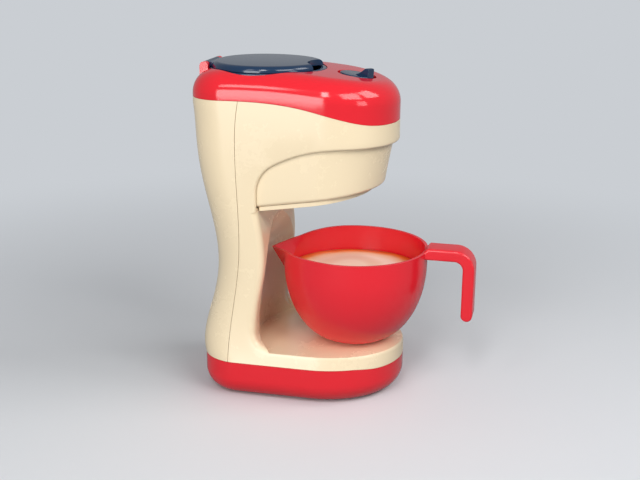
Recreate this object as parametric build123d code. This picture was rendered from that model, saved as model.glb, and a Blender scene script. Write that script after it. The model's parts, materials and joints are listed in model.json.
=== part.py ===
from build123d import *
import os
from math import asin, cos, degrees, radians, sin, sqrt, tan

# A toy drip coffee maker with a jug, in millimetres. +Z is up, the front faces -Y, and the
# origin is in the flat rest face, under the middle of the base. A moulded red base, a cream
# C-shaped housing and a red top cover carry a navy water tank with a hinged lid and a navy
# knob. A red jug with a coffee insert stands on the tray.

# Walls and fits
WALL = 2.4
FIT = 0.3
PIN_FIT = 0.05
HOLE_FIT = 0.2
HOLE_SPARE = 1.0
RIB = 1.6

# Base
BASE_WIDTH = 110.0
BASE_LENGTH = 147.5
BASE_NOSE = 62.0
BASE_CORNER = 30.0
BASE_HEIGHT = 28.0
BASE_EDGE = 16.0
PARTING_DIP = 2.0

# Tray and the bay that the jug stands in
TRAY_RISE = 12.0
TRAY_RIM = 10.5
TRAY_DEPTH = 2.3
BAY_HEIGHT = 104.0
BAY_CORNER = 12.0
BAY_BACK = 29.0
BAY_BULGE = 6.0
BAY_EDGE = 5.0
UNDERSIDE_SLOPE = 0.155
NICHE_TOP = 98.0
NICHE_RADIUS = 75.0

# Column, head and top
WAIST_WIDTH = 97.5
WAIST_REAR = 64.5
HEAD_WIDTH = 100.0
HEAD_FRONT = 66.3
HEAD_REAR = 81.0
HEAD_NOSE = 50.0
HEAD_CORNER = 28.0
HEAD_HEIGHT = 99.0
TOP_EDGE = 17.0
TOP_CROWN_RADIUS = 480.0
TOP_CROWN_Y = 33.0
PARTING_REAR = 20.5
PARTING_BEND_Y = -8.0
PARTING_BEND_DROP = 3.8
PARTING_FOOT_Y = -41.0
PARTING_FOOT_DROP = 12.3
PARTING_DROP = 15.9
SEAM_Y = 43.0

# Brew basket under the head
STEP_RISE = 13.0
STEP_HEIGHT = 47.0
STEP_CORNER = 23.5
STEP_SWEEP = 105.0
STEP_EDGE = 2.0
BASKET_FRONT = 53.0
BASKET_FLARE = 10.0
BASKET_NOSE = 44.0
BASKET_INSET = 0.3
BASKET_TONGUE = 4.0
BASKET_POST = 12.0
BASKET_SCREW_YS = (8.0, -24.0)
PLATE = 3.0
PLATE_INSET = 1.4
PLATE_FRONT_INSET = 4.5
BASKET_EDGE = 3.0
LENS_RADIUS = 6.0
LENS_FLANGE = 2.0
LENS_FLANGE_HEIGHT = 1.2
LAMP_RADIUS = 2.5
LAMP_BASE_RADIUS = 3.2
LAMP_HEIGHT = 5.0
LAMP_BASE_HEIGHT = 1.2
LAMP_BOARD_WIDTH = 16.0
LAMP_BOARD_LENGTH = 12.0

# Water tank and lid
LID_WIDTH = 81.0
LID_LENGTH = 81.5
LID_FRONT = 9.5
LID_CORNER = 38.0
LID_NOSE = 43.0
LID_THICKNESS = 4.5
LID_RISE = 3.0
LID_EDGE = 4.0
NOTCH_WIDTH = 34.0
NOTCH_DEPTH = 11.0
TANK_WALL = 2.0
TANK_EDGE = 4.0
TANK_DEPTH = 41.0
TANK_RING = 1.8
TANK_RING_HEIGHT = 4.5
HINGE_PIN_RADIUS = 1.5
HINGE_BARREL_RADIUS = 3.2
HINGE_BARREL_LENGTH = 26.0
HINGE_EAR_WIDTH = 5.0
HINGE_EAR_END = 1.2
LID_SKIRT = 3.0
NOTCH_WALL = 1.6

# Knob and its switch
KNOB_Y = -34.5
KNOB_RADIUS = 12.3
KNOB_THICKNESS = 2.2
KNOB_TAB_WIDTH = 7.5
KNOB_TAB_HEIGHT = 8.0
KNOB_TURN = 22.0
RECESS_RADIUS = 14.2
RECESS_DEPTH = 2.2
SHAFT_RADIUS = 3.0
SWITCH_SIZE = 20.0
SWITCH_HEIGHT = 11.0
SWITCH_FLANGE = 34.0
SWITCH_PLATE = 1.6
SWITCH_DROP = 6.0
SWITCH_COLLAR = 2.0

# Jug and coffee insert
JUG_Y = -36.0
JUG_HEIGHT = 72.3
JUG_RADIUS = 54.2
JUG_FOOT = 15.0
JUG_KNEE = 60.0
JUG_WALL = 2.2
JUG_DRAFT = 0.2
SPOUT_REACH = 68.0
SPOUT_DROOP = 7.4
SPOUT_HEIGHT = 30.0
SPOUT_TIP = 5.0
SPOUT_LIP = 18.0
HANDLE_REACH = 36.0
HANDLE_WIDTH = 19.5
HANDLE_THICKNESS = 8.6
HANDLE_DROP = 50.0
HANDLE_RISE = 3.5
HANDLE_BEND = 15.0
HANDLE_EDGE = 1.6
COFFEE_DEPTH = 19.0
COFFEE_THICKNESS = 2.4

# Batteries, door, speaker and board
CELL_RADIUS = 7.25
CELL_LENGTH = 50.5
CELL_PITCH = 15.4
CELL_ROOM = 8.0
CELL_SPARE = 1.0
CELL_TIP = 1.5
CELL_TIP_RADIUS = 2.7
CONTACT_THICKNESS = 0.5
BATTERY_Y = 24.5
DOOR_PLATE = 2.2
EAR_RADIUS = 4.5
EAR_DEPTH = 4.4
EAR_WALL = 2.2
EAR_BOSS = 10.0
EAR_X = 18.0
SPEAKER_Y = -34.0
SPEAKER_RADIUS = 18.0
SPEAKER_HEIGHT = 8.0
GRILLE_HOLE = 1.2
GRILLE_PITCH = 5.4
BOARD_WIDTH = 46.0
BOARD_HEIGHT = 58.0
BOARD_Z = 96.0
BOARD_THICKNESS = 1.6
BOARD_GAP = 7.0
PLUG_X = 7.0
PLUG_Z = 23.0
PLUG_DEPTH = 4.0
PLUG_HEIGHT = 5.0
WIRE_RADIUS = 1.1

# Screws
SCREW_RADIUS = 1.45
SCREW_HEAD = 2.9
SCREW_HEAD_HEIGHT = 1.7
BOSS = 4.0
SMALL_BOSS = 3.2
SCREW_TUBE = 5.2
POST_LENGTH = 8.0
BASE_SCREW_X = 38.0
BASE_SCREW_YS = (-24.0, 28.0)
BASE_SCREW_LENGTH = 14.0
BASE_SCREW_SEAT = 9.0
REAR_SCREW_X = 29.0
REAR_SCREW_HEIGHTS = (22.0, 150.0)
REAR_SCREW_LENGTH = 16.0
REAR_SCREW_DEPTH = 12.0
TOP_SCREW_X = 41.5
TOP_SCREW_YS = (-6.0, 60.0)
TOP_SCREW_LENGTH = 9.0
TANK_SCREW_Y = 30.0
TANK_SCREW_LENGTH = 8.0
BASKET_SCREW_LENGTH = 9.0
BOARD_SCREW_LENGTH = 6.0
SWITCH_SCREW_LENGTH = 6.0
DOOR_SCREW_LENGTH = 9.4

# Heights and places that follow from these
RIM_Z = BASE_HEIGHT + TRAY_RISE
FLOOR_Z = RIM_Z - TRAY_DEPTH
UNDERSIDE_Z = RIM_Z + BAY_HEIGHT
WAIST_Z = RIM_Z + 0.55 * BAY_HEIGHT
TOP_Z = UNDERSIDE_Z + HEAD_HEIGHT
PARTING_Z = TOP_Z - PARTING_REAR
LID_TOP = TOP_Z + LID_RISE
LID_BOTTOM = LID_TOP - LID_THICKNESS
BASE_REAR = BASE_LENGTH / 2
BASE_FRONT = -BASE_LENGTH / 2
JUG_RIM_Z = FLOOR_Z + JUG_HEIGHT
SCREW_HOLE = SCREW_RADIUS + PIN_FIT
CLEAR_HOLE = SCREW_HOLE + HOLE_FIT
HEAD_HOLE = SCREW_HEAD + FIT
SWITCH_DEPTH = RECESS_DEPTH + WALL + SWITCH_DROP
FAR = 200.0


# The plan outline: straight sides and rear, rounded rear corners and a half-oval front
def plan_face(z, half, rear, front, corner, nose):
    shoulder = front + nose
    return Pos(0, 0, z) * make_face([
        EllipticalCenterArc((0, shoulder), half, nose, start_angle=180, arc_size=180),
        Line((half, shoulder), (half, rear - corner)),
        CenterArc((half - corner, rear - corner), corner, 0, 90),
        Line((half - corner, rear), (corner - half, rear)),
        CenterArc((corner - half, rear - corner), corner, 90, 90),
        Line((-half, rear - corner), (-half, shoulder)),
    ])


# A side profile, drawn in Y and Z, made a solid across the whole width
def across(edges, half=FAR):
    return extrude(Plane.YZ * make_face(edges), amount=half, both=True)


def rod(radius, start, end):
    start = Vector(*start)
    way = Vector(*end) - start
    return extrude(Plane(origin=start, z_dir=way) * Circle(radius), amount=way.length)


# Height of the crowned top over a place on the centre line
def top_height(y, inset=0.0):
    return TOP_Z - inset - TOP_CROWN_RADIUS + sqrt(TOP_CROWN_RADIUS**2 - (y - TOP_CROWN_Y) ** 2)


def underside_height(y):
    return UNDERSIDE_Z + UNDERSIDE_SLOPE * (BAY_BACK - BAY_BULGE - y)


# The whole outer form, or the room inside it when inset by the wall
def body_form(inset=0.0):
    low = (BASE_WIDTH / 2, BASE_REAR, BASE_FRONT, BASE_CORNER, BASE_NOSE)
    high = (HEAD_WIDTH / 2, HEAD_REAR, -HEAD_FRONT, HEAD_CORNER, HEAD_NOSE)

    def section(z, share, half=None, rear=None):
        mixed = [a + (b - a) * share for a, b in zip(low, high)]
        half = (half or mixed[0]) - inset
        rear = (rear or mixed[1]) - inset
        return plan_face(z, half, rear, mixed[2] + inset, mixed[3] - inset, mixed[4] - inset)

    foot_z = (BASE_HEIGHT + WAIST_Z) / 2
    flare = 0.8 * (BASE_WIDTH - WAIST_WIDTH) / 2
    neck_z = UNDERSIDE_Z
    head_z = neck_z + 0.55 * HEAD_HEIGHT
    straight_z = TOP_Z - PARTING_REAR - TOP_EDGE / 4
    neck_rear = WAIST_REAR + 0.4 * (HEAD_REAR - WAIST_REAR)
    head_rear = HEAD_REAR - 0.1 * (HEAD_REAR - WAIST_REAR)
    waist = (WAIST_WIDTH / 2, WAIST_REAR)
    middle = loft([
        section(BASE_HEIGHT, 0),
        section(foot_z, 0.2, BASE_WIDTH / 2 - flare, BASE_REAR - 0.3 * (BASE_REAR - WAIST_REAR)),
        section(WAIST_Z, 0.5, *waist),
        section(neck_z, 0.8, (WAIST_WIDTH + HEAD_WIDTH) / 4, neck_rear),
        section(head_z, 1, HEAD_WIDTH / 2, head_rear),
        section(straight_z, 1),
    ])
    base = extrude(section(inset, 0), BASE_HEIGHT - inset)
    base = fillet([e for e in base.edges() if e.center().Z < inset + 0.1], BASE_EDGE - inset)
    top = extrude(section(straight_z, 1), TOP_Z - straight_z)
    far_z = top_height(FAR, inset)
    near_z = top_height(-FAR, inset)
    top -= across([
        ThreePointArc((FAR, far_z), (0, top_height(0, inset)), (-FAR, near_z)),
        Polyline((-FAR, near_z), (-FAR, FAR * 2), (FAR, FAR * 2), (FAR, far_z)),
    ])
    edges = [e for e in top.edges() if e.bounding_box().min.Z > straight_z + 0.1]
    top = fillet(edges, TOP_EDGE - inset)
    return base + middle + top


# The bay is open at the front and both sides; its back is the front of the column
def bay(grow=0.0, floor=RIM_Z):
    low = floor - grow
    high = UNDERSIDE_Z + grow
    back = BAY_BACK + grow
    corner = BAY_CORNER + grow
    bulge = (BAY_BACK - BAY_BULGE + grow, (RIM_Z + UNDERSIDE_Z) / 2 + 8)
    top = BAY_BACK - BAY_BULGE / 4 + grow
    far_high = high + UNDERSIDE_SLOPE * (BAY_BACK - BAY_BULGE + FAR)
    near_high = high + UNDERSIDE_SLOPE * (BAY_BACK - BAY_BULGE - top)
    return across([
        Line((-FAR, low), (back - corner, low)),
        CenterArc((back - corner, low + corner), corner, 270, 90),
        Spline((back, low + corner), bulge, (top, near_high), tangents=[(0, 1), (0.25, 1)]),
        Polyline((top, near_high), (-FAR, far_high), (-FAR, low)),
    ])


# The hollow in the front of the column that the jug's spout reaches into
def niche(grow=0.0):
    radius = NICHE_RADIUS + grow
    face_distance = BAY_BACK - BAY_BULGE - JUG_Y
    side = make_face([
        Line((0, FLOOR_Z - grow), (radius, FLOOR_Z - grow)),
        Spline(
            (radius, FLOOR_Z - grow),
            (face_distance + 10 + grow, FLOOR_Z + 0.75 * NICHE_TOP),
            (face_distance + grow, FLOOR_Z + NICHE_TOP + grow),
            tangents=[(0, 1), (-0.5, 1)],
        ),
        Polyline(
            (face_distance + grow, FLOOR_Z + NICHE_TOP + grow),
            (0, FLOOR_Z + NICHE_TOP + grow),
            (0, FLOOR_Z - grow),
        ),
    ])
    return Pos(0, JUG_Y, 0) * revolve(Plane.XZ * side, Axis.Z)


# The edges where the bay meets the outside: round the tray, up the corners and up the column
def bay_edges(form):
    corner_y = BAY_BACK - BAY_CORNER
    edges = []
    for e in form.edges():
        box = e.bounding_box()
        level = box.min.Z > RIM_Z - 0.1 and box.max.Z < RIM_Z + 0.1
        on_tray = level and e.center().Y < corner_y - 0.5
        beside = abs(e.center().X) > WAIST_WIDTH / 2 - WALL and corner_y - 0.1 < box.min.Y
        between = box.min.Z > RIM_Z - 0.1 and box.max.Z < UNDERSIDE_Z + 0.1
        if on_tray or (beside and between and box.max.Y < BAY_BACK + 0.1):
            edges.append(e)
    return edges


def tray_pocket():
    front = BASE_FRONT + TRAY_RIM
    half = BASE_WIDTH / 2 - TRAY_RIM
    outline = plan_face(FLOOR_Z, half, BAY_BACK + BAY_CORNER, front, BAY_CORNER, BASE_NOSE - TRAY_RIM)
    room = extrude(outline, RIM_Z - FLOOR_Z + BAY_CORNER)
    return room & bay(floor=FLOOR_Z)


# Parting curves, each given as the solid above or in front of it
def above_base_parting(raise_by=0.0):
    z = BASE_HEIGHT + raise_by
    low_z = z - PARTING_DIP
    dip_start = BASE_FRONT + 0.5 * BASE_NOSE
    dip_end = BASE_FRONT + 0.15 * BASE_NOSE
    return across([
        Line((FAR, z), (dip_start, z)),
        Spline((dip_start, z), (dip_end, low_z), tangents=[(-1, 0), (-1, 0)]),
        Polyline((dip_end, low_z), (-FAR, low_z), (-FAR, 2 * FAR), (FAR, 2 * FAR), (FAR, z)),
    ])


def above_top_parting(raise_by=0.0):
    rear_z = PARTING_Z + raise_by
    front_z = rear_z - PARTING_DROP
    return across([
        Line((FAR, rear_z), (HEAD_REAR, rear_z)),
        Spline(
            (HEAD_REAR, rear_z),
            (PARTING_BEND_Y, rear_z - PARTING_BEND_DROP),
            (PARTING_FOOT_Y, rear_z - PARTING_FOOT_DROP),
            (-HEAD_FRONT, front_z),
            tangents=[(-1, 0), (-1, 0)],
        ),
        Polyline((-HEAD_FRONT, front_z), (-FAR, front_z), (-FAR, 2 * FAR), (FAR, 2 * FAR), (FAR, rear_z)),
    ])


def behind_seam(shift=0.0):
    y = SEAM_Y + shift
    return across([
        Line((y + 6, -FAR), (y + 6, BASE_HEIGHT)),
        Spline(
            (y + 6, BASE_HEIGHT), (y - 2, WAIST_Z + 14), (y - 3, PARTING_Z), tangents=[(0, 1), (-0.2, 1)]
        ),
        Polyline((y - 3, PARTING_Z), (y - 3, 2 * FAR), (FAR, 2 * FAR), (FAR, -FAR), (y + 6, -FAR)),
    ])


# The stretch of the head below the soft step, where the basket housing stands back: a tight
# arc at the column runs into a long flat one towards the front
def basket_region(grow=0.0):
    back = BAY_BACK - BAY_BULGE / 4 + FIT
    tight = STEP_CORNER + grow
    sweep = STEP_SWEEP + grow
    start_z = UNDERSIDE_Z + STEP_RISE
    turn = degrees(asin((STEP_SWEEP + STEP_RISE - STEP_HEIGHT) / (STEP_SWEEP - STEP_CORNER)))
    tight_y = back - STEP_CORNER
    sweep_y = tight_y - (STEP_SWEEP - STEP_CORNER) * cos(radians(turn))
    sweep_z = UNDERSIDE_Z + STEP_HEIGHT - STEP_SWEEP
    step_z = sweep_z + sweep
    low = underside_height(back + grow)
    return across([
        Line((back + grow, low), (back + grow, start_z)),
        CenterArc((tight_y, start_z), tight, 0, turn),
        CenterArc((sweep_y, sweep_z), sweep, turn, 90 - turn),
        Polyline((sweep_y, step_z), (-FAR, step_z), (-FAR, underside_height(-FAR)), (back + grow, low)),
    ])


# The outer form with the basket's stretch taken away and the edge of the step rounded
def head_over_basket(outer):
    form = outer - basket_region()
    top = UNDERSIDE_Z + STEP_HEIGHT + 0.1
    edges = []
    for e in form.edges():
        box = e.bounding_box()
        outside = abs(e.center().X) > WAIST_WIDTH / 2 or e.center().Y < 1 - HEAD_FRONT
        rising = box.min.Z > UNDERSIDE_Z - 1 and box.max.Z > UNDERSIDE_Z + 1
        if outside and rising and box.max.Z < top and box.max.Y < BAY_BACK:
            edges.append(e)
    return fillet(edges, STEP_EDGE)


def basket_form(inset=0.0):
    gap = WALL + FIT + BASKET_INSET
    half = (WAIST_WIDTH + HEAD_WIDTH) / 4 - gap - inset
    rear = BASE_REAR - inset
    corner = HEAD_CORNER / 2
    low_nose = BASKET_NOSE
    wide = (HEAD_WIDTH / 2 - gap - inset) - half
    middle_z = UNDERSIDE_Z + STEP_HEIGHT / 2
    high_z = UNDERSIDE_Z + STEP_HEIGHT + BASKET_TONGUE + 1
    front = -BASKET_FRONT + inset
    middle_flare = 0.45 * BASKET_FLARE
    return loft([
        plan_face(UNDERSIDE_Z - BAY_CORNER, half, rear, front, corner, low_nose - inset),
        plan_face(middle_z, half + wide / 2, rear, front - middle_flare, corner, low_nose + 2 - inset),
        plan_face(high_z, half + wide, rear, front - BASKET_FLARE, corner, low_nose + 4 - inset),
    ])


# Everything above a line parallel to the sloping underside of the head
def above_underside(raise_by):
    return across(Polyline(
        (FAR, underside_height(FAR) + raise_by),
        (-FAR, underside_height(-FAR) + raise_by),
        (-FAR, 2 * FAR),
        (FAR, 2 * FAR),
        (FAR, underside_height(FAR) + raise_by),
    ))


# The egg-shaped plan of the lid and tank, narrower towards the front
def lid_plan(z, inset=0.0):
    front = -LID_FRONT + inset
    rear = LID_LENGTH - LID_FRONT - inset
    return plan_face(z, LID_WIDTH / 2 - inset, rear, front, LID_CORNER - inset, LID_NOSE - inset)


# Screws: a pan head with a cross recess, and a plain shank
def screw(seat, way, length):
    seat = Vector(*seat)
    plane = Plane(origin=seat, z_dir=way)
    head = extrude(plane * Circle(SCREW_HEAD), amount=-SCREW_HEAD_HEIGHT)
    head = fillet(head.edges().sort_by(Axis(seat, way))[0], SCREW_HEAD_HEIGHT / 3)
    cross = Rectangle(SCREW_HEAD, SCREW_HEAD / 4) + Rectangle(SCREW_HEAD / 4, SCREW_HEAD)
    head -= extrude(plane.offset(-SCREW_HEAD_HEIGHT) * cross, amount=SCREW_HEAD_HEIGHT / 2)
    return head + extrude(plane * Circle(SCREW_RADIUS), amount=length)


def base_screw_places():
    return [(side * BASE_SCREW_X, y) for side in (-1, 1) for y in BASE_SCREW_YS]


def rear_screw_places():
    return [(side * REAR_SCREW_X, RIM_Z + up) for side in (-1, 1) for up in REAR_SCREW_HEIGHTS]


def top_screw_places():
    return [(side * TOP_SCREW_X, y) for side in (-1, 1) for y in TOP_SCREW_YS]


BASE_SCREW_TUBE = BASE_SCREW_SEAT + RIB
REAR_SCREW_SEAT = SEAM_Y + REAR_SCREW_DEPTH
REAR_POST_END = SEAM_Y - 4.0
TOP_TAB_Z = PARTING_Z - 12.0
TOP_BOSS_END = TOP_TAB_Z + WALL + FIT


def red_base(outer, room):
    shell = (outer - room) - above_base_parting()
    for x, y in base_screw_places():
        shell += rod(SCREW_TUBE, (x, y, WALL / 2), (x, y, BASE_SCREW_TUBE))
        shell -= rod(HEAD_HOLE, (x, y, -1), (x, y, BASE_SCREW_SEAT))
        shell -= rod(CLEAR_HOLE, (x, y, 0), (x, y, BASE_SCREW_TUBE + 1))
    for ear, side in ear_places():
        shell += rod(EAR_RADIUS + EAR_WALL, (*ear, WALL / 2), (*ear, EAR_DEPTH + EAR_BOSS))
        shell -= rod(SCREW_HOLE, (*ear, 0), (*ear, EAR_DEPTH + EAR_BOSS - HOLE_SPARE))
    shell -= battery_opening()
    ring_top = WALL + SPEAKER_HEIGHT / 2
    ring = rod(SPEAKER_RADIUS + FIT + RIB, (0, SPEAKER_Y, WALL / 2), (0, SPEAKER_Y, ring_top))
    shell += ring - rod(SPEAKER_RADIUS + FIT, (0, SPEAKER_Y, WALL), (0, SPEAKER_Y, ring_top))
    for x, y in grille_places():
        shell -= rod(GRILLE_HOLE, (x, y, -1), (x, y, WALL + 1))
    return shell


def grille_places():
    rings = [(0, 1), (1, 6), (2, 12)]
    places = []
    for ring, count in rings:
        for k in range(count):
            turn = radians(360 * k / count)
            places.append((ring * GRILLE_PITCH * cos(turn), SPEAKER_Y + ring * GRILLE_PITCH * sin(turn)))
    return places


# Battery box, cells, contacts and door
BOX_HALF_X = (CELL_LENGTH + CELL_ROOM) / 2
BOX_HALF_Y = CELL_PITCH + FIT
BOX_TOP = DOOR_PLATE + FIT + 2 * CELL_RADIUS + CELL_SPARE
CELL_Z = DOOR_PLATE + FIT + CELL_RADIUS
DOOR_SEAT = SCREW_HEAD_HEIGHT + FIT


def ear_places():
    reach = BOX_HALF_Y + RIB + FIT + EAR_RADIUS + EAR_WALL
    return [((EAR_X, BATTERY_Y - reach), -1), ((-EAR_X, BATTERY_Y + reach), 1)]


def door_outline(shrink):
    face = Pos(0, BATTERY_Y) * Rectangle(2 * (BOX_HALF_X - shrink), 2 * (BOX_HALF_Y - shrink))
    for (x, y), side in ear_places():
        inner = BATTERY_Y + side * BOX_HALF_Y / 2
        tongue = Pos(x, (y + inner) / 2) * Rectangle(2 * (EAR_RADIUS - shrink), abs(y - inner))
        face += tongue + Pos(x, y) * Circle(EAR_RADIUS - shrink)
    return face


def battery_opening():
    pocket = extrude(door_outline(0), DOOR_PLATE + FIT)
    through = Pos(0, BATTERY_Y, WALL / 2) * Box(2 * BOX_HALF_X, 2 * BOX_HALF_Y, 4 * WALL)
    for ear, side in ear_places():
        pocket += rod(EAR_RADIUS, (*ear, 0), (*ear, EAR_DEPTH + FIT))
    return pocket + through


def battery_door():
    door = extrude(door_outline(FIT), DOOR_PLATE)
    for ear, side in ear_places():
        door += rod(EAR_RADIUS - FIT, (*ear, 0), (*ear, EAR_DEPTH))
        door -= rod(CLEAR_HOLE, (*ear, -1), (*ear, EAR_DEPTH + 1))
        door -= rod(HEAD_HOLE, (*ear, -1), (*ear, DOOR_SEAT))
    for k in range(5):
        y = BATTERY_Y - BOX_HALF_Y / 2 + k * BOX_HALF_Y / 4
        door -= Pos(0, y, 0) * Box(BOX_HALF_X, 1.0, 0.8)
    return door


def battery_door_screws():
    return [screw((*ear, DOOR_SEAT), (0, 0, 1), DOOR_SCREW_LENGTH) for ear, side in ear_places()]


def battery_box():
    base_z = WALL
    height = BOX_TOP + RIB - base_z
    middle = Pos(0, BATTERY_Y, base_z + height / 2)
    outer = middle * Box(2 * (BOX_HALF_X + RIB), 2 * (BOX_HALF_Y + RIB), height)
    hollow = Pos(0, BATTERY_Y, BOX_TOP / 2) * Box(2 * BOX_HALF_X, 2 * BOX_HALF_Y, BOX_TOP)
    return outer - hollow


def battery(k):
    y = BATTERY_Y + (k - 0.5) * CELL_PITCH
    flip = 1 if k == 0 else -1
    half = CELL_LENGTH / 2
    can = rod(CELL_RADIUS, (-flip * half, y, CELL_Z), (flip * (half - CELL_TIP), y, CELL_Z))
    can = fillet(can.edges().filter_by(GeomType.CIRCLE), CELL_TIP / 2)
    return can + rod(CELL_TIP_RADIUS, (flip * (half - 1.2 * CELL_TIP), y, CELL_Z), (flip * half, y, CELL_Z))


# Bare contact plates on the box's end walls, with a dimple or a conical spring for each cell
def battery_contacts():
    pieces = []
    width = CELL_PITCH - 2 * RIB
    height = 2 * CELL_RADIUS - 2 * RIB
    for k in (0, 1):
        y = BATTERY_Y + (k - 0.5) * CELL_PITCH
        for side in (-1, 1):
            middle = (side * (BOX_HALF_X - CONTACT_THICKNESS / 2), y, CELL_Z)
            plate = Pos(*middle) * Box(CONTACT_THICKNESS, width, height)
            minus = side == (-1 if k == 0 else 1)
            contact = Plane(origin=middle, z_dir=(-side, 0, 0))
            reach = (CELL_ROOM - CONTACT_THICKNESS) / 2
            small = 2.0 if minus else 3.0
            pieces.append(plate + loft([contact * Circle(5.0), contact.offset(reach) * Circle(small)]))
    return pieces


def speaker():
    z = WALL
    frame = rod(SPEAKER_RADIUS, (0, SPEAKER_Y, z), (0, SPEAKER_Y, z + SPEAKER_HEIGHT / 3))
    basket = Pos(0, SPEAKER_Y, z + SPEAKER_HEIGHT / 3) * loft([
        Circle(SPEAKER_RADIUS - 2), Pos(0, 0, SPEAKER_HEIGHT / 3) * Circle(SPEAKER_RADIUS / 2),
    ])
    magnet_z = z + 2 * SPEAKER_HEIGHT / 3
    magnet = rod(SPEAKER_RADIUS / 2, (0, SPEAKER_Y, magnet_z), (0, SPEAKER_Y, z + SPEAKER_HEIGHT))
    return frame + basket + magnet


def front_housing(outer, room):
    shell = (head_over_basket(outer) - room) & above_base_parting(FIT)
    shell -= behind_seam(-FIT / 2) + above_top_parting(-FIT / 2)
    for x, y in base_screw_places():
        post = rod(BOSS, (x, y, BASE_SCREW_TUBE + FIT), (x, y, FLOOR_Z - WALL / 2))
        shell += post - rod(SCREW_HOLE, (x, y, 0), (x, y, BASE_SCREW_SEAT + BASE_SCREW_LENGTH + HOLE_SPARE))
    for x, z in rear_screw_places():
        post = rod(BOSS, (x, REAR_POST_END - POST_LENGTH, z), (x, REAR_POST_END, z))
        wing_x = (abs(x) + WAIST_WIDTH / 2 - WALL / 2) / 2 * (1 if x > 0 else -1)
        middle = Pos(wing_x, REAR_POST_END - POST_LENGTH / 2, z)
        wing = middle * Box(HEAD_WIDTH / 2 - abs(x), POST_LENGTH, 1.6 * BOSS)
        post = (post + wing) & (outer - bay() - niche())
        shell += post - rod(SCREW_HOLE, (x, REAR_POST_END - POST_LENGTH - 1, z), (x, REAR_POST_END + 1, z))
    return shell + (top_tabs(outer) - behind_seam(-FIT / 2))


# Inner tabs at the head's upper edge, which the cover's screws come up through
def top_tabs(outer):
    tabs = []
    for x, y in top_screw_places():
        side = 1 if x > 0 else -1
        wing = Pos(x + side * HEAD_WIDTH / 8, y, TOP_TAB_Z + WALL / 2) * Box(HEAD_WIDTH / 4, 2 * BOSS, WALL)
        tab = (rod(BOSS, (x, y, TOP_TAB_Z), (x, y, TOP_TAB_Z + WALL)) + wing) & outer
        tabs.append(tab - rod(CLEAR_HOLE, (x, y, TOP_TAB_Z - 1), (x, y, TOP_TAB_Z + WALL + 1)))
    return Compound(tabs)


def rear_cover(outer, room):
    shell = (outer - room) & above_base_parting(FIT) & behind_seam(FIT / 2)
    shell -= above_top_parting(-FIT / 2)
    for x, z in rear_screw_places():
        tube = rod(SCREW_TUBE, (x, REAR_POST_END + FIT, z), (x, FAR, z)) & outer
        shell += tube
        shell -= rod(HEAD_HOLE, (x, REAR_SCREW_SEAT, z), (x, FAR, z))
        shell -= rod(CLEAR_HOLE, (x, 0, z), (x, FAR, z))
    for x, z in board_screw_places():
        post = rod(SMALL_BOSS, (x, board_y() + BOARD_THICKNESS, z), (x, FAR, z)) & outer
        shell += post - rod(SCREW_HOLE, (x, 0, z), (x, board_y() + BOARD_SCREW_LENGTH + HOLE_SPARE, z))
    return shell + (top_tabs(outer) & behind_seam(FIT / 2))


def board_y():
    return WAIST_REAR - WALL - BOARD_GAP - BOARD_THICKNESS


def board_screw_places():
    x = BOARD_WIDTH / 2 - BOSS
    up = BOARD_HEIGHT / 2 - BOSS
    return [(-x, BOARD_Z - up), (-x, BOARD_Z + up), (x, BOARD_Z - up), (x, BOARD_Z + up)]


# A board with a chip, a capacitor and four sockets for the wires
def circuit_board():
    y = board_y()
    board = Pos(0, y + BOARD_THICKNESS / 2, BOARD_Z) * Box(BOARD_WIDTH, BOARD_THICKNESS, BOARD_HEIGHT)
    for x, z in board_screw_places():
        board -= rod(CLEAR_HOLE, (x, y - 1, z), (x, y + BOARD_THICKNESS + 1, z))
    chip = Pos(-5, y - 0.75, BOARD_Z + 4) * Box(12, 1.5, 9)
    can = rod(3, (9, y, BOARD_Z - 8), (9, y - 6, BOARD_Z - 8))
    board += chip + can
    for x in (-PLUG_X, PLUG_X):
        for z in (BOARD_Z - PLUG_Z, BOARD_Z + PLUG_Z):
            board += Pos(x, y - PLUG_DEPTH / 2, z) * Box(2 * PLUG_DEPTH, PLUG_DEPTH, PLUG_HEIGHT)
    return board


def basket_housing():
    form = basket_form() & basket_region(BASKET_TONGUE) & above_underside(PLATE)
    lowest = []
    for e in form.edges():
        place = e.center()
        if abs(place.Z - underside_height(place.Y) - PLATE) < 0.6 and place.Y < BAY_BACK - BAY_BULGE:
            lowest.append(e)
    form = fillet(lowest, BASKET_EDGE)
    shell = form - (basket_form(WALL) & above_underside(0))
    for x, y in basket_screw_places():
        z = underside_height(y) + PLATE
        side = 1 if x > 0 else -1
        post = rod(BOSS, (x, y, z), (x, y, z + BASKET_POST))
        post += Pos(x + side * BOSS, y, z + BASKET_POST / 2) * Box(2 * BOSS, BOSS, BASKET_POST)
        shell += post & form
    for x, y in basket_screw_places():
        z = underside_height(y)
        hole_end = z + SCREW_HEAD_HEIGHT + BASKET_SCREW_LENGTH + HOLE_SPARE
        shell -= rod(SCREW_HOLE, (x, y, z), (x, y, hole_end))
    return shell


def basket_screw_places():
    rear_y, front_y = BASKET_SCREW_YS
    rear_x = WAIST_WIDTH / 2 - FIT - 3.5 * WALL
    front_x = rear_x - BOSS
    return [(-rear_x, rear_y), (rear_x, rear_y), (-front_x, front_y), (front_x, front_y)]


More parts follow.
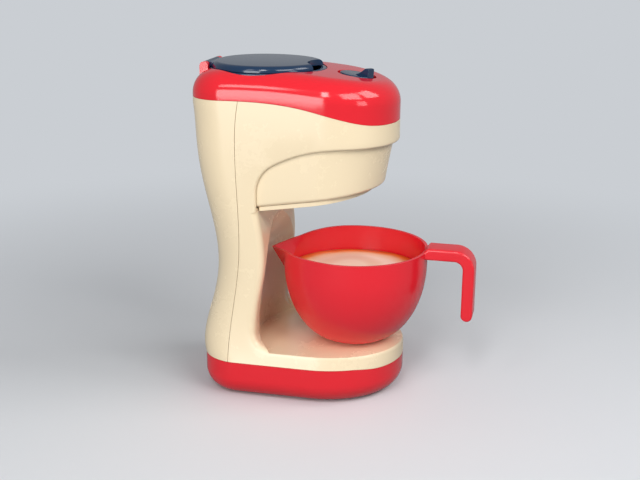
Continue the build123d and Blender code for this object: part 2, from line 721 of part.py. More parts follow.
def basket_plate():
    half = WAIST_WIDTH / 2 - WALL - FIT - PLATE_INSET
    front = -BASKET_FRONT + PLATE_FRONT_INSET
    rear = BAY_BACK - BAY_BULGE / 4 - FIT
    outline = plan_face(UNDERSIDE_Z - PLATE, half, rear, front, 2.0, BASKET_NOSE - PLATE_FRONT_INSET)
    plate = extrude(outline, HEAD_HEIGHT / 2) & above_underside(0.0)
    plate -= above_underside(PLATE)
    for x, y in basket_screw_places():
        z = underside_height(y)
        plate -= rod(CLEAR_HOLE, (x, y, z - PLATE), (x, y, z + 2 * PLATE))
        plate -= rod(HEAD_HOLE, (x, y, z - PLATE), (x, y, z + SCREW_HEAD_HEIGHT))
    return plate - extrude(outlet_plane(-1) * Circle(LENS_RADIUS + PIN_FIT), amount=PLATE + 2)


# The clear lens in the outlet, over the middle of the jug, and the lamp above it
def outlet_plane(height=0.0):
    slope = asin(UNDERSIDE_SLOPE / sqrt(1 + UNDERSIDE_SLOPE**2))
    origin = (0, JUG_Y, underside_height(JUG_Y))
    return Plane(origin=origin, x_dir=(1, 0, 0), z_dir=(0, sin(slope), cos(slope))).offset(height)


LENS_HEIGHT = PLATE + LENS_FLANGE_HEIGHT
LAMP_TOP = LENS_HEIGHT + LAMP_HEIGHT + LAMP_BASE_HEIGHT


def outlet_lens():
    lens = extrude(outlet_plane() * Circle(LENS_RADIUS), amount=PLATE)
    flange = outlet_plane(PLATE) * Circle(LENS_RADIUS + LENS_FLANGE)
    return lens + extrude(flange, amount=LENS_FLANGE_HEIGHT)


def lamp():
    body = extrude(outlet_plane(LENS_HEIGHT) * Circle(LAMP_RADIUS), amount=LAMP_HEIGHT)
    base = outlet_plane(LENS_HEIGHT + LAMP_HEIGHT) * Circle(LAMP_BASE_RADIUS)
    return body + extrude(base, amount=LAMP_BASE_HEIGHT)


def lamp_board():
    outline = outlet_plane(LAMP_TOP) * Rectangle(LAMP_BOARD_WIDTH, LAMP_BOARD_LENGTH)
    return extrude(outline, amount=BOARD_THICKNESS)


# Top cover, tank and lid
KNOB_TILT = degrees(asin((TOP_CROWN_Y - KNOB_Y) / TOP_CROWN_RADIUS))


def knob_plane(depth=0.0):
    lean = radians(KNOB_TILT)
    plane = Plane(origin=(0, KNOB_Y, top_height(KNOB_Y)), x_dir=(1, 0, 0), z_dir=(0, -sin(lean), cos(lean)))
    return plane.offset(-depth)


HINGE_Y = LID_LENGTH - LID_FRONT + HINGE_BARREL_RADIUS
HINGE_Z = LID_BOTTOM + 0.6


def hinge_room():
    half = HINGE_BARREL_LENGTH / 2 + FIT
    return rod(HINGE_BARREL_RADIUS + 2 * FIT, (-half, HINGE_Y, HINGE_Z), (half, HINGE_Y, HINGE_Z))


# The space that the tank takes up in the cover, with its clearance
def tank_room():
    cup = extrude(lid_plan(TANK_BOTTOM - FIT, -FIT), FAR)
    return cup + extrude(lid_plan(LID_BOTTOM - TANK_RING_HEIGHT - FIT, -TANK_RING - FIT), FAR)


def top_cover(outer, room):
    shell = (outer - room) & above_top_parting()
    shell -= tank_room()
    dish = extrude(knob_plane(RECESS_DEPTH) * Circle(RECESS_RADIUS), amount=FAR / 4)
    dish_wall = knob_plane(RECESS_DEPTH + WALL) * Circle(RECESS_RADIUS + WALL)
    under = extrude(dish_wall, amount=RECESS_DEPTH + WALL / 2)
    shell += under & outer
    shell -= dish
    shell -= extrude(knob_plane(SWITCH_DEPTH) * Circle(SHAFT_RADIUS + FIT), amount=FAR / 4)
    for x, y in top_screw_places():
        boss = (rod(BOSS, (x, y, TOP_BOSS_END), (x, y, TOP_Z)) & outer) - tank_room()
        shell += boss - rod(SCREW_HOLE, (x, y, 0), (x, y, TOP_TAB_Z + TOP_SCREW_LENGTH + HOLE_SPARE))
    for x, y in tank_screw_places():
        boss = (rod(SMALL_BOSS, (x, y, TANK_EAR_Z + TANK_WALL + FIT), (x, y, TOP_Z)) & outer) - tank_room()
        shell += boss - rod(SCREW_HOLE, (x, y, 0), (x, y, TANK_EAR_Z + TANK_SCREW_LENGTH + HOLE_SPARE))
    for x in switch_screw_xs():
        plane = knob_plane(SWITCH_DEPTH) * Pos(x, 0)
        post = extrude(plane * Circle(SMALL_BOSS), amount=SWITCH_DROP + WALL / 2)
        shell += (post & outer) - extrude(plane * Circle(SCREW_HOLE), amount=SWITCH_DROP)
    for side in (-1, 1):
        shell += hinge_ear(side) - tank_room()
    return shell - hinge_room()


def hinge_ear(side):
    start = side * (HINGE_BARREL_LENGTH / 2 + FIT)
    end = start + side * HINGE_EAR_WIDTH
    ear = rod(HINGE_BARREL_RADIUS, (start, HINGE_Y, HINGE_Z), (end, HINGE_Y, HINGE_Z))
    foot_low = HINGE_Z - 3 * HINGE_BARREL_RADIUS
    foot = Pos((start + end) / 2, HINGE_Y, (foot_low + HINGE_Z) / 2) * Box(
        HINGE_EAR_WIDTH, 2 * HINGE_BARREL_RADIUS, HINGE_Z - foot_low
    )
    foot &= across(Polyline(
        (HINGE_Y - HINGE_BARREL_RADIUS, foot_low),
        (HINGE_Y - HINGE_BARREL_RADIUS, TOP_Z),
        (HINGE_Y + HINGE_BARREL_RADIUS, TOP_Z),
        (HINGE_Y + HINGE_BARREL_RADIUS, HINGE_Z - HINGE_BARREL_RADIUS / 2),
        (HEAD_REAR - WALL, foot_low),
        (HINGE_Y - HINGE_BARREL_RADIUS, foot_low),
    ))
    hole_end = start + side * (HINGE_EAR_WIDTH - HINGE_EAR_END)
    hole = rod(HINGE_PIN_RADIUS + PIN_FIT, (0, HINGE_Y, HINGE_Z), (hole_end, HINGE_Y, HINGE_Z))
    return ear + foot - hole


TANK_RIM_Z = LID_BOTTOM - FIT
TANK_BOTTOM = LID_BOTTOM - TANK_DEPTH
TANK_EAR_Z = PARTING_Z + 2.0


def tank_screw_places():
    x = LID_WIDTH / 2 + SMALL_BOSS
    return [(-x, TANK_SCREW_Y), (x, TANK_SCREW_Y)]


def water_tank():
    cup = extrude(lid_plan(TANK_BOTTOM), TANK_RIM_Z - TANK_BOTTOM)
    cup = fillet([e for e in cup.edges() if e.center().Z < TANK_BOTTOM + 0.1], TANK_EDGE)
    ring = extrude(lid_plan(LID_BOTTOM - TANK_RING_HEIGHT, -TANK_RING), TANK_RING_HEIGHT - FIT)
    cup += fillet([e for e in ring.edges() if e.center().Z > TANK_RIM_Z - 0.1], TANK_RING / 2)
    hollow = extrude(lid_plan(TANK_BOTTOM + TANK_WALL, TANK_WALL), TANK_DEPTH)
    low_edges = [e for e in hollow.edges() if e.center().Z < TANK_BOTTOM + TANK_WALL + 0.1]
    cup -= fillet(low_edges, TANK_EDGE - TANK_WALL / 2)
    for x, y in tank_screw_places():
        side = 1 if x > 0 else -1
        ear = rod(SMALL_BOSS, (x, y, TANK_EAR_Z), (x, y, TANK_EAR_Z + TANK_WALL))
        middle = Pos(x - side * SMALL_BOSS, y, TANK_EAR_Z + TANK_WALL / 2)
        ear += middle * Box(2 * SMALL_BOSS, 2 * SMALL_BOSS, TANK_WALL)
        ear -= extrude(lid_plan(TANK_BOTTOM, TANK_WALL / 2), FAR)
        cup += ear - rod(CLEAR_HOLE, (x, y, TANK_EAR_Z - 1), (x, y, TANK_EAR_Z + TANK_WALL + 1))
    return cup - hinge_room()


# The oval that is cut out of the lid's front edge for a finger
def finger_notch(z, height, grow=0.0):
    outline = Ellipse(NOTCH_WIDTH / 2 + grow, NOTCH_DEPTH + grow)
    return extrude(Pos(0, -LID_FRONT, z) * outline, height)


def lid():
    slab = extrude(lid_plan(LID_BOTTOM), LID_THICKNESS)
    slab = fillet([e for e in slab.edges() if e.center().Z > LID_TOP - 0.1], LID_EDGE)
    inside = extrude(lid_plan(LID_BOTTOM, LID_SKIRT), LID_THICKNESS - TANK_WALL)
    slab -= inside - finger_notch(LID_BOTTOM, LID_THICKNESS, NOTCH_WALL)
    slab -= finger_notch(LID_BOTTOM - 1, LID_THICKNESS + 2)
    half = HINGE_BARREL_LENGTH / 2
    ear_room = HINGE_EAR_WIDTH + 4 * FIT
    room_depth = 2 * (HINGE_BARREL_RADIUS + 2 * FIT)
    for side in (-1, 1):
        x = side * (half + ear_room / 2 - FIT / 2)
        slab -= Pos(x, HINGE_Y, HINGE_Z) * Box(ear_room, room_depth, 4 * HINGE_BARREL_RADIUS)
    barrel = rod(HINGE_BARREL_RADIUS, (-half, HINGE_Y, HINGE_Z), (half, HINGE_Y, HINGE_Z))
    neck_height = LID_THICKNESS - 1.4
    neck = Pos(0, HINGE_Y - HINGE_BARREL_RADIUS, LID_BOTTOM + 0.2 + neck_height / 2)
    slab += barrel + neck * Box(2 * half, 2 * HINGE_BARREL_RADIUS, neck_height)
    return slab - rod(HINGE_PIN_RADIUS + PIN_FIT, (-FAR, HINGE_Y, HINGE_Z), (FAR, HINGE_Y, HINGE_Z))


def hinge_pin():
    half = HINGE_BARREL_LENGTH / 2 + HINGE_EAR_WIDTH - HINGE_EAR_END + FIT / 2
    return rod(HINGE_PIN_RADIUS, (-half, HINGE_Y, HINGE_Z), (half, HINGE_Y, HINGE_Z))


# The knob is a flat disc with a lever tab that rises from its middle to its edge
def knob():
    seat = RECESS_DEPTH - FIT
    plane = knob_plane(seat)
    disc = extrude(plane * Circle(KNOB_RADIUS), amount=KNOB_THICKNESS)
    disc = fillet(disc.edges().sort_by(Axis((0, KNOB_Y, 0), plane.z_dir))[-1], KNOB_THICKNESS / 3)
    tip = KNOB_RADIUS - 1.0
    crest = KNOB_RADIUS - 3.5
    start_z = KNOB_THICKNESS - 0.4
    side = make_face([
        Polyline((-2, start_z), (-2, 0), (tip + 0.7, 0), (tip, KNOB_TAB_HEIGHT), (crest, KNOB_TAB_HEIGHT)),
        Spline((crest, KNOB_TAB_HEIGHT), (-2, start_z), tangents=[(-1, -0.9), (-1, 0)]),
    ])
    forwards = Plane(origin=(0, 0, 0), x_dir=(0, -1, 0), z_dir=(-1, 0, 0))
    tab = extrude(forwards * side, amount=KNOB_TAB_WIDTH / 2, both=True)
    tab = fillet([e for e in tab.edges() if e.center().Z > KNOB_TAB_HEIGHT - 0.5], 0.9)
    tab = plane.location * Rot(0, 0, -KNOB_TURN) * tab
    socket = extrude(plane * Circle(SHAFT_RADIUS + PIN_FIT), amount=KNOB_THICKNESS / 2 + PIN_FIT)
    return disc + tab - socket


def switch_screw_xs():
    x = (SWITCH_FLANGE - SWITCH_SIZE) / 4 + SWITCH_SIZE / 2
    return (-x, x)


def switch_shaft():
    plane = knob_plane(SWITCH_DEPTH + SWITCH_PLATE)
    length = SWITCH_DEPTH + SWITCH_PLATE - (RECESS_DEPTH - FIT) + KNOB_THICKNESS / 2
    return extrude(plane * Circle(SHAFT_RADIUS), amount=length)


def rotary_switch():
    plane = knob_plane(SWITCH_DEPTH + SWITCH_PLATE)
    flange = extrude(plane * Rectangle(SWITCH_FLANGE, SWITCH_SIZE * 0.6), amount=SWITCH_PLATE)
    can = extrude(plane * Rectangle(SWITCH_SIZE, SWITCH_SIZE), amount=-SWITCH_HEIGHT)
    switch = flange + fillet(can.edges().filter_by(Axis((0, 0, 0), plane.z_dir)), SWITCH_COLLAR)
    for x in switch_screw_xs():
        switch -= extrude(plane * Pos(x, 0) * Circle(CLEAR_HOLE), amount=SWITCH_PLATE)
    collar_top = SWITCH_PLATE + SWITCH_DROP / 2
    switch += extrude(plane * Circle(SHAFT_RADIUS + SWITCH_COLLAR), amount=collar_top)
    return switch - extrude(plane * Circle(SHAFT_RADIUS + PIN_FIT), amount=collar_top)


def switch_screws():
    plane = knob_plane(SWITCH_DEPTH + SWITCH_PLATE)
    seats = [plane.from_local_coords((x, 0, 0)) for x in switch_screw_xs()]
    return [screw(seat, plane.z_dir, SWITCH_SCREW_LENGTH) for seat in seats]


# Jug: a half-oval bowl with a beak at the back and an open handle at the front
def bowl(inset=0.0):
    foot_z = FLOOR_Z + inset
    knee_z = FLOOR_Z + JUG_KNEE
    knee = JUG_RADIUS - JUG_DRAFT - inset
    foot = JUG_FOOT - inset
    side = make_face([
        Line((0, foot_z), (foot, foot_z)),
        EllipticalCenterArc((foot, knee_z), knee - foot, knee_z - foot_z, start_angle=270, arc_size=90),
        Line((knee, knee_z), (JUG_RADIUS - inset, JUG_RIM_Z)),
        Line((JUG_RADIUS - inset, JUG_RIM_Z), (0, JUG_RIM_Z)),
        Line((0, JUG_RIM_Z), (0, foot_z)),
    ])
    return Pos(0, JUG_Y, 0) * revolve(Plane.XZ * side, Axis.Z)


def beak(inset=0.0):
    def outline(z, radius, reach, tip):
        radius -= inset + 1.0
        reach -= inset
        tip_y = reach - tip
        turn = degrees(asin((radius - tip) / tip_y))
        c, s = cos(radians(turn)), sin(radians(turn))
        left = (radius * c, radius * s)
        tip_left = (tip * c, tip_y + tip * s)
        mirrored = [(-x, y) for x, y in (left, tip_left)]
        return Pos(0, JUG_Y, z) * make_face([
            ThreePointArc(mirrored[0], (0, -radius), left),
            Line(left, tip_left),
            ThreePointArc(tip_left, (0, reach), mirrored[1]),
            Line(mirrored[1], mirrored[0]),
        ])

    low = JUG_RIM_Z - SPOUT_HEIGHT
    return loft([
        outline(low, JUG_RADIUS - 12, JUG_RADIUS - 5, 12 - inset),
        outline(JUG_RIM_Z, JUG_RADIUS, SPOUT_REACH + 1, SPOUT_TIP - inset / 2),
    ], ruled=True)


def handle():
    y0 = JUG_Y - JUG_RADIUS + JUG_WALL
    y1 = JUG_Y - JUG_RADIUS - HANDLE_REACH
    top = JUG_RIM_Z + HANDLE_RISE
    low = top - HANDLE_DROP
    t = HANDLE_THICKNESS
    r = HANDLE_BEND
    side = make_face([
        Line((y0, JUG_RIM_Z), (y0 - HANDLE_RISE, top)),
        Line((y0 - HANDLE_RISE, top), (y1 + r, top)),
        CenterArc((y1 + r, top - r), r, 90, 90),
        Line((y1, top - r), (y1, low)),
        ThreePointArc((y1, low), (y1 + t / 2, low - t / 2), (y1 + t, low)),
        Line((y1 + t, low), (y1 + t, top - r)),
        CenterArc((y1 + r, top - r), r - t, 180, -90),
        Line((y1 + r, top - t), (y0, top - t)),
        Line((y0, top - t), (y0, JUG_RIM_Z)),
    ])
    bar = extrude(Plane.YZ * side, amount=HANDLE_WIDTH / 2, both=True)
    long_edges = []
    for e in bar.edges():
        if abs(abs(e.center().X) - HANDLE_WIDTH / 2) < 0.01 and e.center().Y < y0 - 0.5:
            long_edges.append(e)
    return fillet(long_edges, HANDLE_EDGE)


def jug():
    body = bowl() + beak() + (handle() - bowl(JUG_WALL / 2))
    body -= bowl(JUG_WALL) + beak(JUG_WALL)
    lip_y = JUG_Y + SPOUT_LIP
    tip_y = JUG_Y + SPOUT_REACH + 2
    tip_z = JUG_RIM_Z - SPOUT_DROOP
    droop = across([
        Spline((lip_y, JUG_RIM_Z), (tip_y, tip_z), tangents=[(1, 0), (1, -0.3)]),
        Polyline((tip_y, tip_z), (FAR, tip_z), (FAR, FAR * 2), (lip_y, FAR * 2), (lip_y, JUG_RIM_Z)),
    ])
    return body - droop


def coffee():
    top = JUG_RIM_Z - COFFEE_DEPTH
    slab = Pos(0, JUG_Y, top - COFFEE_THICKNESS / 2) * Cylinder(JUG_RADIUS, COFFEE_THICKNESS)
    return slab & bowl(JUG_WALL + FIT)


# Wires: straight runs joined by arcs, each arc as large as its two runs allow
def wire(points):
    points = [Vector(p) for p in points]
    radii = []
    for a, b, c in zip(points, points[1:], points[2:]):
        turn = radians((b - a).get_angle(c - b))
        radii.append(0.45 * min((b - a).length, (c - b).length) / tan(turn / 2))
    route = FilletPolyline(*points, radius=radii)
    return sweep(Plane(origin=points[0], z_dir=route % 0) * Circle(WIRE_RADIUS), path=route)


# The wires between the board's four plugs and what they feed
def wires():
    plug_y = board_y() - PLUG_DEPTH / 2
    low_z = BOARD_Z - PLUG_Z - PLUG_HEIGHT / 2
    high_z = BOARD_Z + PLUG_Z + PLUG_HEIGHT / 2
    box_top = BOX_TOP + RIB
    speaker_top = WALL + SPEAKER_HEIGHT
    lamp_end = outlet_plane(LAMP_TOP + BOARD_THICKNESS)
    lamp_start = lamp_end.origin
    lamp_up = lamp_start + lamp_end.z_dir * 9
    switch_end = knob_plane(SWITCH_DEPTH + SWITCH_PLATE + SWITCH_HEIGHT)
    switch_start = switch_end.origin
    switch_down = switch_start - switch_end.z_dir * 9
    return {
        "battery_wire": wire([
            (-7, 38, box_top), (-7, 38, 26), (-7, 45, 35), (-7, 48, 46), (-7, plug_y, 58),
            (-7, plug_y, low_z),
        ]),
        "speaker_wire": wire([
            (0, SPEAKER_Y, speaker_top), (0, SPEAKER_Y, 20), (3, -22, 26), (7, -4, 27.5), (7.5, 16, 26.5),
            (7, 34, 27), (7, 45, 34), (7, 48.5, 46), (7, plug_y, 58), (7, plug_y, low_z),
        ]),
        "switch_wire": wire([
            switch_start, switch_down, (-4, -25, 196), (-7, -8, 189), (-7, 12, 185), (-7, 30, 176),
            (-7, 44, 160), (-7, plug_y, 142), (-7, plug_y, high_z),
        ]),
        "lamp_wire": wire([
            lamp_start, lamp_up, (4, -22, 181), (7, -5, 180), (7, 14, 175), (7, 31, 165), (7, 44, 151),
            (7, plug_y, 137), (7, plug_y, high_z),
        ]),
    }


def main():
    os.makedirs("parts", exist_ok=True)
    outer = body_form() - bay()
    outer = fillet(bay_edges(outer), BAY_EDGE)
    room = body_form(WALL) - bay(WALL) - niche(WALL)
    room -= extrude(plan_face(FLOOR_Z - WALL, BASE_WIDTH, BAY_BACK, -FAR, 1.0, 1.0), BAY_HEIGHT / 2)
    outer = outer - niche() - tray_pocket()
    nodes = {
        "base_shell": red_base(outer, room),
        "battery_box": battery_box(),
        "battery_1": battery(0),
        "battery_2": battery(1),
        "battery_contacts": Compound(battery_contacts()),
        "battery_door": battery_door(),
        "battery_door_screws": Compound(battery_door_screws()),
        "speaker": speaker(),
        "front_housing": front_housing(outer, room),
        "rear_cover": rear_cover(outer, room),
        "circuit_board": circuit_board(),
        "basket_housing": basket_housing(),
        "basket_plate": basket_plate(),
        "outlet_lens": outlet_lens(),
        "lamp": lamp(),
        "lamp_board": lamp_board(),
        "top_cover": top_cover(outer, room),
        "water_tank": water_tank(),
        "lid": lid(),
        "lid_hinge_pin": hinge_pin(),
        "knob": knob(),
        "switch_shaft": switch_shaft(),
        "rotary_switch": rotary_switch(),
        "jug": jug(),
        "coffee_insert": coffee(),
    }
    nodes["base_screws"] = Compound([
        screw((x, y, BASE_SCREW_SEAT), (0, 0, 1), BASE_SCREW_LENGTH) for x, y in base_screw_places()
    ])
    nodes["rear_screws"] = Compound([
        screw((x, REAR_SCREW_SEAT, z), (0, -1, 0), REAR_SCREW_LENGTH) for x, z in rear_screw_places()
    ])
    nodes["top_cover_screws"] = Compound([
        screw((x, y, TOP_TAB_Z), (0, 0, 1), TOP_SCREW_LENGTH) for x, y in top_screw_places()
    ])
    nodes["tank_screws"] = Compound([
        screw((x, y, TANK_EAR_Z), (0, 0, 1), TANK_SCREW_LENGTH) for x, y in tank_screw_places()
    ])
    nodes["basket_screws"] = Compound([
        screw((x, y, underside_height(y) + SCREW_HEAD_HEIGHT), (0, 0, 1), BASKET_SCREW_LENGTH)
        for x, y in basket_screw_places()
    ])
    nodes["board_screws"] = Compound([
        screw((x, board_y(), z), (0, 1, 0), BOARD_SCREW_LENGTH) for x, z in board_screw_places()
    ])
    nodes["switch_screws"] = Compound(switch_screws())
    nodes.update(wires())
    for name, shape in nodes.items():
        export_step(shape, f"parts/{name}.step")
        print(name, len(shape.solids()), round(shape.volume, 1))


main()
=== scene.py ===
import bpy
import bmesh
import json
import math
from mathutils import Matrix, Vector


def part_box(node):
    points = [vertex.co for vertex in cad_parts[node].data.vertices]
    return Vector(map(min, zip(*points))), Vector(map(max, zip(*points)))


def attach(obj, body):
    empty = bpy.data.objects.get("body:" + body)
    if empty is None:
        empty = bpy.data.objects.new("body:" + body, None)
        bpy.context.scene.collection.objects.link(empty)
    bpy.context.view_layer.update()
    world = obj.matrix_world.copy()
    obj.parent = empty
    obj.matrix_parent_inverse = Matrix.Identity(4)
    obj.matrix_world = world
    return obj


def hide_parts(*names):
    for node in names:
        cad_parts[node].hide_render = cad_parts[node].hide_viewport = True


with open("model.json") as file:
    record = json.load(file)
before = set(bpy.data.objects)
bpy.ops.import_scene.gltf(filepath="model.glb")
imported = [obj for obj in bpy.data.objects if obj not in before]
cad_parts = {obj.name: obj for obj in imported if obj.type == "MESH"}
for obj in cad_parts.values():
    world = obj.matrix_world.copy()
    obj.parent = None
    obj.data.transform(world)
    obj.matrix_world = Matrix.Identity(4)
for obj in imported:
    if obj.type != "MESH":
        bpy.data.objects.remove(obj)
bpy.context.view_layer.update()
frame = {"nodes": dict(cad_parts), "record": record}

# Camera. It stands a little in front of the machine's left side, as someone sees who faces it, and
# above it, about 0.8 m away, and leans half a degree.
TURN = math.radians(-77.0)
RISE = math.radians(16.6)
LEAN = math.radians(0.5)
DISTANCE = 0.8155
AIM = Vector((0.0, -0.00825, 0.1116))
FOCAL_PIXELS = 1075.4
PHOTO_WIDTH = 640

away = Vector((math.sin(TURN) * math.cos(RISE), -math.cos(TURN) * math.cos(RISE), math.sin(RISE)))
level = Vector((math.cos(TURN), math.sin(TURN), 0.0))
upward = away.cross(level)
right = level * math.cos(LEAN) + upward * math.sin(LEAN)
upward = away.cross(right)
lens = bpy.data.cameras.new("camera")
camera = bpy.data.objects.new("camera", lens)
bpy.context.scene.collection.objects.link(camera)
turned = Matrix((right, upward, away)).transposed().to_4x4()
camera.matrix_world = Matrix.Translation(AIM + away * DISTANCE) @ turned
lens.sensor_width = 36.0
lens.lens = FOCAL_PIXELS * lens.sensor_width / PHOTO_WIDTH
lens.clip_start = 0.01
lens.clip_end = 60.0
bpy.context.scene.camera = camera
bpy.context.scene.view_settings.view_transform = "Standard"


# Floor and backdrop. A matt sheet of pale grey studio paper, so wide that its edge is never seen.
# A little way from the machine it fades into the even grey of the backdrop, and from below it is clear.
# What it throws back at the plastic is dark, so the shades under the head and in the bay stay deep.
def srgb(code):
    """An sRGB hex colour as linear red, green, blue and alpha."""
    parts = [int(code[i:i + 2], 16) / 255 for i in (1, 3, 5)]
    return tuple(c / 12.92 if c <= 0.04045 else ((c + 0.055) / 1.055) ** 2.4 for c in parts) + (1.0,)


def add(tree, kind, sockets=None, **settings):
    """One node, with its settings. Each socket is given a value or another node's output."""
    node = tree.nodes.new(kind)
    for key, value in settings.items():
        setattr(node, key, value)
    for socket, value in (sockets or {}).items():
        if isinstance(value, bpy.types.NodeSocket):
            tree.links.new(value, node.inputs[socket])
        else:
            node.inputs[socket].default_value = value
    return node


def empty_material(name):
    """A material with nothing in it but its output."""
    made = bpy.data.materials.new(name)
    made.use_nodes = True
    made.node_tree.nodes.clear()
    return made, made.node_tree, add(made.node_tree, "ShaderNodeOutputMaterial")


def maths(tree, operation, first, second=0.0):
    """The result of one sum on two values."""
    return add(tree, "ShaderNodeMath", {0: first, 1: second}, operation=operation).outputs[0]


MIRRORED = 0.5          # how bright a polished surface shows the studio, beside the camera


def seen_directly(tree):
    """One for rays from the camera and through glass, less from a mirror, and nought for the rest."""
    path = add(tree, "ShaderNodeLightPath").outputs
    mirror = maths(tree, "MULTIPLY", path["Is Glossy Ray"], MIRRORED)
    seen = maths(tree, "MAXIMUM", path["Is Camera Ray"], path["Is Transmission Ray"])
    return maths(tree, "MAXIMUM", seen, mirror)


FLOOR_SIZE = 30.0
FLOOR_DROP = 0.0002      # keeps the paper clear of the rest face, which would flicker with it
FADE_START = 0.16
FADE_END = 0.75
PAPER_GRIT = 0.0011
BACKDROP = "#CACED3"
FILL = 0.27             # what the backdrop gives as light, beside what it shows

floor_mesh = bpy.data.meshes.new("floor")
bm = bmesh.new()
bmesh.ops.create_grid(bm, x_segments=1, y_segments=1, size=FLOOR_SIZE / 2)
bmesh.ops.translate(bm, verts=bm.verts, vec=(0.0, 0.0, -FLOOR_DROP))
bm.to_mesh(floor_mesh)
bm.free()
floor = bpy.data.objects.new("floor", floor_mesh)
bpy.context.scene.collection.objects.link(floor)
paper, tree, output = empty_material("matt studio paper")
place = add(tree, "ShaderNodeTexCoord").outputs["Object"]
grit = add(tree, "ShaderNodeTexNoise", {"Vector": place, "Scale": 1 / PAPER_GRIT})
bump = add(tree, "ShaderNodeBump", {"Height": grit.outputs["Fac"], "Strength": 0.05, "Distance": 0.0002})
seen = seen_directly(tree)
tone = add(tree, "ShaderNodeMix", {0: seen, 6: srgb("#73757A"), 7: srgb("#E2E4E7")}, data_type="RGBA")
sheet = add(tree, "ShaderNodeBsdfPrincipled",
            {"Base Color": tone.outputs[2], "Roughness": 0.9, "Normal": bump.outputs["Normal"]})
strength = add(tree, "ShaderNodeMapRange", {"Value": seen, "To Min": FILL, "To Max": 1.0})
backdrop = add(tree, "ShaderNodeEmission", {"Color": srgb(BACKDROP), "Strength": strength.outputs[0]})
reach = add(tree, "ShaderNodeVectorMath", {0: place}, operation="LENGTH")
fade = add(tree, "ShaderNodeMapRange",
           {"Value": reach.outputs["Value"], "From Min": FADE_START, "From Max": FADE_END},
           interpolation_type="SMOOTHSTEP")
mixed = add(tree, "ShaderNodeMixShader", {0: fade.outputs[0], 1: sheet.outputs[0], 2: backdrop.outputs[0]})
clear = add(tree, "ShaderNodeBsdfTransparent")
below = add(tree, "ShaderNodeNewGeometry").outputs["Backfacing"]
sided = add(tree, "ShaderNodeMixShader", {0: below, 1: mixed.outputs[0], 2: clear.outputs[0]})
tree.links.new(sided.outputs[0], output.inputs["Surface"])
floor_mesh.materials.append(paper)

world = bpy.data.worlds.new("studio backdrop")
bpy.context.scene.world = world
world.use_nodes = True
tree = world.node_tree
tree.nodes.clear()
strength = add(tree, "ShaderNodeMapRange", {"Value": seen_directly(tree), "To Min": FILL, "To Max": 1.0})
sky = add(tree, "ShaderNodeBackground", {"Color": srgb(BACKDROP), "Strength": strength.outputs[0]})
add(tree, "ShaderNodeOutputWorld", {"Surface": sky.outputs[0]})


# Soft boxes. On the camera's side a narrow and a small one hang high and a broad one stands low. Of those
# in front two hang high, so that the head shades the bay, and a small one stands low. All show as
# streaks on the polished plastic.
LIT_POINT = Vector((0.0, 0.0, 0.12))


def soft_box(name, azimuth, distance, height, size, watts):
    """A rectangle of light that faces the machine, as seen from above at an azimuth like the camera's."""
    turn = math.radians(azimuth)
    stand = Vector((math.sin(turn) * distance, -math.cos(turn) * distance, height))
    data = bpy.data.lights.new(name, "AREA")
    data.shape = "RECTANGLE"
    data.size, data.size_y = size
    data.energy = watts
    lamp = bpy.data.objects.new(name, data)
    facing = (stand - LIT_POINT).to_track_quat("Z", "Y").to_matrix().to_4x4()
    lamp.matrix_world = Matrix.Translation(stand) @ facing
    lamp.visible_camera = False
    bpy.context.scene.collection.objects.link(lamp)


soft_box("key box", -86.0, 1.1, 1.1, (0.24, 0.5), 4.0)
soft_box("streak box", -112.0, 1.2, 1.2, (0.3, 0.3), 1.6)
soft_box("side box", -105.0, 1.5, 0.35, (0.8, 0.9), 14.0)
soft_box("front box", -38.0, 1.2, 1.1, (0.8, 0.6), 8.0)
soft_box("low box", -26.0, 1.5, 0.4, (0.42, 0.45), 2.2)
soft_box("nose box", 5.0, 1.1, 1.1, (0.6, 0.6), 6.0)


# Base shell. The red tray that the machine stands on, with the speaker grille, screw wells and room
# for the cells. Injection moulded ABS from a polished mould: it mirrors the soft boxes, and its
# colour drifts a little where the plastic flowed.
FLOW_PATCH = 0.03
MOULD_SKIN = 0.0009      # drawn coarser than a real etch of about 0.1 mm, so that it shows
SKIN_DEPTH = 0.00004
EDGE_RADIUS = 0.00035
PLASTIC_IOR = 1.53


def moulded(name, colour, deep, roughness, skin):
    """Injection moulded plastic: a faint drift of colour and gloss, the mould's skin, and soft edges."""
    made, tree, output = empty_material(name)
    place = add(tree, "ShaderNodeTexCoord").outputs["Object"]
    flow = add(tree, "ShaderNodeTexNoise",
               {"Vector": place, "Scale": 1 / FLOW_PATCH, "Detail": 8.0, "Roughness": 0.7})
    drift = add(tree, "ShaderNodeMix", {0: flow.outputs["Fac"], 6: srgb(deep), 7: srgb(colour)},
                data_type="RGBA")
    gloss = add(tree, "ShaderNodeMapRange",
                {"Value": flow.outputs["Fac"], "To Min": roughness * 0.9, "To Max": roughness * 1.1})
    edge = add(tree, "ShaderNodeBevel", {"Radius": EDGE_RADIUS}, samples=6)
    etch = add(tree, "ShaderNodeTexNoise", {"Vector": place, "Scale": 1 / MOULD_SKIN})
    bump = add(tree, "ShaderNodeBump", {"Height": etch.outputs["Fac"], "Strength": skin,
                                        "Distance": SKIN_DEPTH, "Normal": edge.outputs[0]})
    plastic = add(tree, "ShaderNodeBsdfPrincipled",
                  {"Base Color": drift.outputs[2], "Roughness": gloss.outputs[0], "IOR": PLASTIC_IOR,
                   "Normal": bump.outputs["Normal"]})
    tree.links.new(plastic.outputs[0], output.inputs["Surface"])
    return made


SHARP_TURN = math.radians(32.0)
SAME_POINT = 0.00001
RIDERS = {node: body for body, nodes in frame["record"]["behaviour"]["bodies"].items() for node in nodes}


